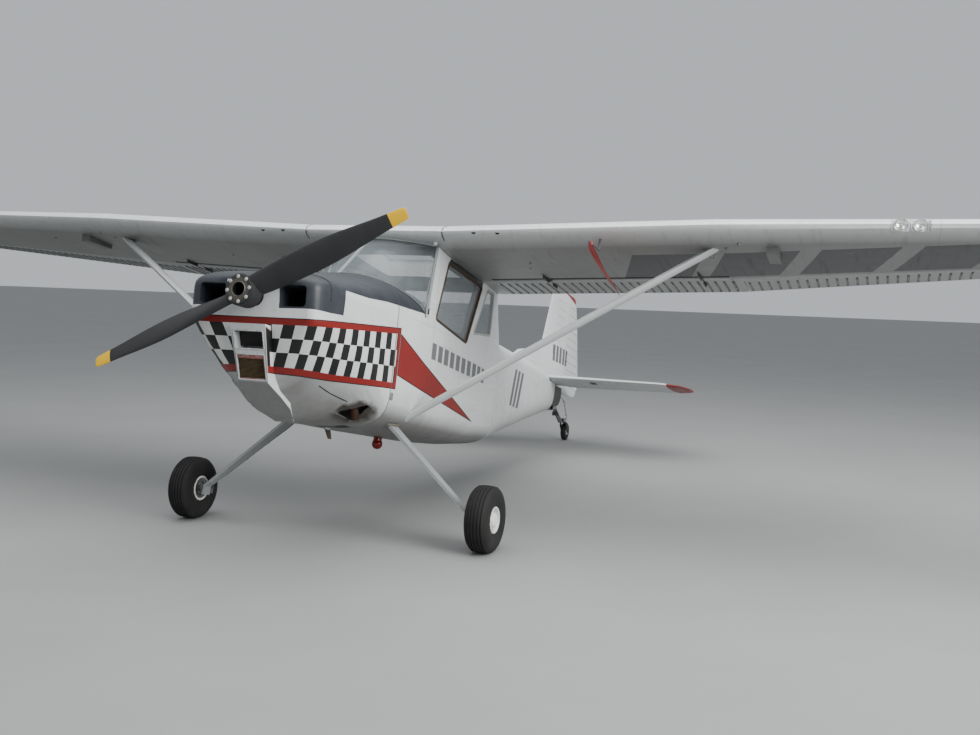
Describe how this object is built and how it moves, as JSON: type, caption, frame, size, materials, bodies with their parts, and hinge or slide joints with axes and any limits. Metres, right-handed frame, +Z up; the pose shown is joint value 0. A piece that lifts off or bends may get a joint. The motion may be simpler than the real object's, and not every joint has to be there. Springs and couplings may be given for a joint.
{
  "type": "light aircraft",
  "caption": "Two-seat high-wing light observation aircraft with strut-braced wing, tailwheel undercarriage, glazed cabin, turning propeller and hinged control surfaces.",
  "frame": {"origin": "on the ground, at the centre of the aircraft's bounding box in plan, parked on its three wheels", "axes": "+Z up, -Y towards the nose, +X towards the port wing tip"},
  "size_m": [10.972, 7.6194, 2.366],
  "materials": {
    "white_paint": "semi-gloss",
    "charcoal_paint": "matte",
    "black_paint": "matte",
    "black_panel": "matte",
    "dark_screen": "satin",
    "bare_metal": "satin",
    "clear_glazing": "clear",
    "tyre": "matte",
    "canvas": "matte",
    "red_lamp": "gloss"
  },
  "bodies": {
    "airframe": {"nose_bowl": "white_paint", "cowl_upper": "charcoal_paint", "cowl_lower": "white_paint", "intake_filter": "dark_screen", "engine_block": "bare_metal", "exhaust_stacks": "bare_metal", "firewall": "bare_metal", "cabin_tub": "white_paint", "cabin_floor": "bare_metal", "cowl_deck": "charcoal_paint", "cabin_side_port": "white_paint", "cabin_side_starboard": "white_paint", "cabin_roof": "white_paint", "skylight": "clear_glazing", "windscreen": "clear_glazing", "rear_window": "clear_glazing", "window_port_front": "clear_glazing", "window_port_rear": "clear_glazing", "window_starboard_rear": "clear_glazing", "instrument_panel": "black_panel", "seat_front": "bare_metal", "seat_rear": "bare_metal", "cushion_front": "canvas", "cushion_rear": "canvas", "tail_cone": "white_paint", "stabiliser": "white_paint", "fin": "white_paint", "landing_lights": "clear_glazing", "pitot": "bare_metal", "beacon": "red_lamp", "tail_spring": "bare_metal", "wing_port": "white_paint", "strut_port": "white_paint", "gear_leg_port": "white_paint", "axle_port": "bare_metal", "wing_starboard": "white_paint", "strut_starboard": "white_paint", "gear_leg_starboard": "white_paint", "axle_starboard": "bare_metal"},
    "propeller_assembly": {"propeller": "black_paint", "propeller_hub": "bare_metal"},
    "door": {"cabin_door": "white_paint", "door_window": "clear_glazing"},
    "elevator_pair": {"elevators": "white_paint"},
    "rudder_body": {"rudder": "white_paint"},
    "tailwheel_fork": {"tail_fork": "bare_metal"},
    "tailwheel": {"tail_tyre": "tyre", "tail_wheel": "bare_metal"},
    "port_flap": {"flap_port": "white_paint"},
    "port_aileron": {"aileron_port": "white_paint"},
    "port_main_wheel": {"tyre_port": "tyre", "wheel_port": "white_paint"},
    "starboard_flap": {"flap_starboard": "white_paint"},
    "starboard_aileron": {"aileron_starboard": "white_paint"},
    "starboard_main_wheel": {"tyre_starboard": "tyre", "wheel_starboard": "white_paint"}
  },
  "joints": [
    {"name": "propeller_spin", "type": "hinge", "parent": "airframe", "child": "propeller_assembly", "pos_m": [0, -3.69719, 1.73], "axis": [0, -0.9833, 0.1822], "continuous": true},
    {"name": "port_wheel_spin", "type": "hinge", "parent": "airframe", "child": "port_main_wheel", "pos_m": [1.176, -2.53185, 0.231], "axis": [1, 0, 0], "continuous": true},
    {"name": "starboard_wheel_spin", "type": "hinge", "parent": "airframe", "child": "starboard_main_wheel", "pos_m": [-1.176, -2.53185, 0.231], "axis": [1, 0, 0], "continuous": true},
    {"name": "tailwheel_swivel", "type": "hinge", "parent": "airframe", "child": "tailwheel_fork", "pos_m": [0, 3.29281, 0.2], "axis": [0, 0, 1], "continuous": true},
    {"name": "tailwheel_spin", "type": "hinge", "parent": "tailwheel_fork", "child": "tailwheel", "pos_m": [0, 3.35481, 0.105], "axis": [1, 0, 0], "continuous": true},
    {"name": "door_hinge", "type": "hinge", "parent": "airframe", "child": "door", "pos_m": [-0.486, -1.92733, 1.40198], "axis": [0, 0.1822, 0.9833], "range_deg": [0, 90]},
    {"name": "port_flap_hinge", "type": "hinge", "parent": "airframe", "child": "port_flap", "pos_m": [1.5525, -0.85914, 1.94689], "axis": [-0.9992, -0.0077, -0.04], "range_deg": [0, 60]},
    {"name": "port_aileron_hinge", "type": "hinge", "parent": "airframe", "child": "port_aileron", "pos_m": [3.83, -0.80893, 2.04682], "axis": [-0.9968, 0.0391, -0.0693], "range_deg": [-20, 15]},
    {"name": "starboard_flap_hinge", "type": "hinge", "parent": "airframe", "child": "starboard_flap", "pos_m": [-1.5525, -0.85914, 1.94689], "axis": [-0.9992, 0.0077, 0.04], "range_deg": [0, 60]},
    {"name": "starboard_aileron_hinge", "type": "hinge", "parent": "airframe", "child": "starboard_aileron", "pos_m": [-3.83, -0.80893, 2.04682], "axis": [-0.9968, -0.0391, 0.0693], "range_deg": [-20, 15]},
    {"name": "elevator_hinge", "type": "hinge", "parent": "airframe", "child": "elevator_pair", "pos_m": [0, 2.79069, 0.73807], "axis": [-1, 0, 0], "range_deg": [-28, 20]},
    {"name": "rudder_hinge", "type": "hinge", "parent": "airframe", "child": "rudder_body", "pos_m": [0, 3.12778, 1.07528], "axis": [0, 0.1822, 0.9833], "range_deg": [-24, 24]}
  ]
}
